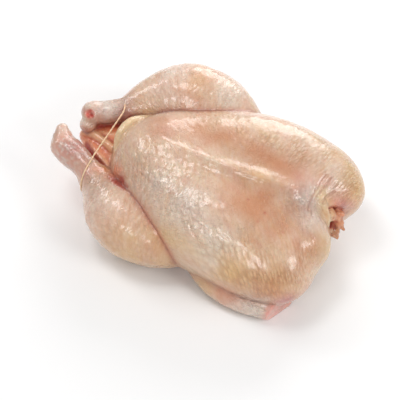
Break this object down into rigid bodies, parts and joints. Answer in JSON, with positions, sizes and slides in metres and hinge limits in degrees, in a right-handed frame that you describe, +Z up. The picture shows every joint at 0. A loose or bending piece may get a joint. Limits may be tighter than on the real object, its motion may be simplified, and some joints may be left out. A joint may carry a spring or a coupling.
{
  "type": "whole raw chicken",
  "caption": "Whole raw oven-ready chicken lying on its back, its legs drawn together by a thin elastic loop.",
  "frame": {"origin": "on the surface the bird lies on, under the middle of its bounding box", "axes": "+X from the tail and shanks to the neck, +Y across the bird to its raised side, +Z up"},
  "size_m": [0.2822, 0.1972, 0.1043],
  "materials": {
    "skin": "moist raw poultry skin, pale pinkish yellow, with pores, fine wrinkles and a wet sheen",
    "elastic": "dull pale tan elastic cord"
  },
  "bodies": {
    "root": {"chicken": "skin", "leg_tie": "elastic"}
  },
  "joints": []
}
